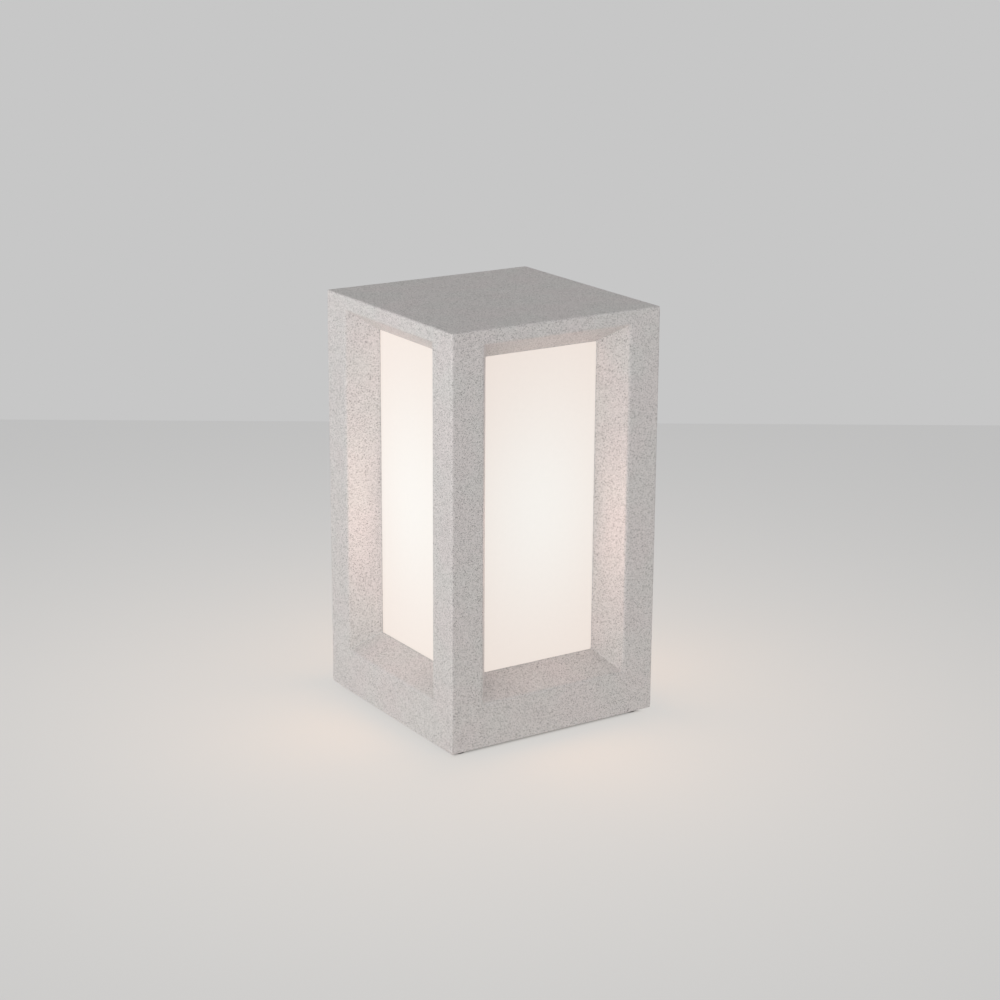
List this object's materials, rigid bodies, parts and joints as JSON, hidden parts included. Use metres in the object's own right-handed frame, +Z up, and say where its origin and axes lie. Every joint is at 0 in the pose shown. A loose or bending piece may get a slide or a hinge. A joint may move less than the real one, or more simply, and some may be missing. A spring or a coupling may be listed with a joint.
{
  "type": "stone lantern",
  "caption": "Square cast-stone floor lantern with bevelled windows, opal panels behind them, and a steel base tray that carries the lampholder, bulb and rubber feet.",
  "frame": {"origin": "on the floor, at the middle of the square footprint", "axes": "+Z up, -Y towards the front window, +X to the right-hand window, the cable notch is at +Y"},
  "size_m": [0.2, 0.2, 0.354],
  "materials": {
    "cast_stone": "matte",
    "opal_acrylic": "satin",
    "silicone": "satin",
    "black_rubber": "matte",
    "zinc_steel": "satin",
    "stainless": "satin",
    "brass": "satin",
    "nickel_plate": "satin",
    "porcelain": "gloss",
    "polyamide": "satin",
    "block_plastic": "satin",
    "bulb_plastic": "satin",
    "bulb_opal": "satin",
    "black_glass": "gloss",
    "led_board_white": "satin",
    "wire_brown": "satin",
    "wire_blue": "satin",
    "wire_green_yellow": "satin"
  },
  "bodies": {
    "base": {"base_tray": "zinc_steel", "base_gasket": "black_rubber", "base_screw_1": "stainless", "base_screw_2": "stainless", "base_screw_3": "stainless", "base_screw_4": "stainless", "foot_1": "black_rubber", "foot_2": "black_rubber", "foot_3": "black_rubber", "foot_4": "black_rubber", "lamp_bracket": "zinc_steel", "bracket_screw_1": "stainless", "bracket_screw_2": "stainless", "lampholder_body": "porcelain", "lampholder_thread_shell": "nickel_plate", "lampholder_centre_contact": "brass", "lampholder_screw_1": "stainless", "lampholder_screw_2": "stainless", "lampholder_terminal_screw_1": "brass", "lampholder_terminal_screw_2": "brass", "terminal_block": "block_plastic", "terminal_screw_1": "brass", "terminal_screw_2": "brass", "terminal_screw_3": "brass", "terminal_block_screw": "stainless", "earth_lug": "brass", "earth_screw": "brass", "live_wire": "wire_brown", "neutral_wire": "wire_blue", "earth_wire": "wire_green_yellow", "gland_body": "polyamide", "gland_washer": "black_rubber", "gland_locknut": "polyamide", "gland_dome_nut": "polyamide", "gland_seal": "black_rubber"},
    "shell": {"stone_shell": "cast_stone", "opal_panel_front": "opal_acrylic", "opal_panel_right": "opal_acrylic", "opal_panel_back": "opal_acrylic", "opal_panel_left": "opal_acrylic", "panel_seal_front": "silicone", "panel_seal_right": "silicone", "panel_seal_back": "silicone", "panel_seal_left": "silicone", "threaded_insert_1": "brass", "threaded_insert_2": "brass", "threaded_insert_3": "brass", "threaded_insert_4": "brass"},
    "bulb_tip": {"bulb_contact": "brass", "bulb_insulator": "black_glass"},
    "bulb": {"bulb_cap": "nickel_plate", "bulb_housing": "bulb_plastic", "bulb_led_board": "led_board_white", "bulb_globe": "bulb_opal"}
  },
  "joints": [
    {"name": "shell_lift", "type": "slide", "parent": "base", "child": "shell", "axis": [0, 0, 1], "range_m": [0, 0.24]},
    {"name": "bulb_rise", "type": "slide", "parent": "base", "child": "bulb_tip", "axis": [0, 0, 1], "range_m": [0, 0.0254]},
    {"name": "bulb_turn", "type": "hinge", "parent": "bulb_tip", "child": "bulb", "pos_m": [0, 0, 0.125], "axis": [0, 0, 1], "range_deg": [0, 2520]}
  ],
  "couplings": [
    {"joint": "bulb_rise", "follows": "bulb_turn", "m_per_rad": 0.0005775}
  ]
}
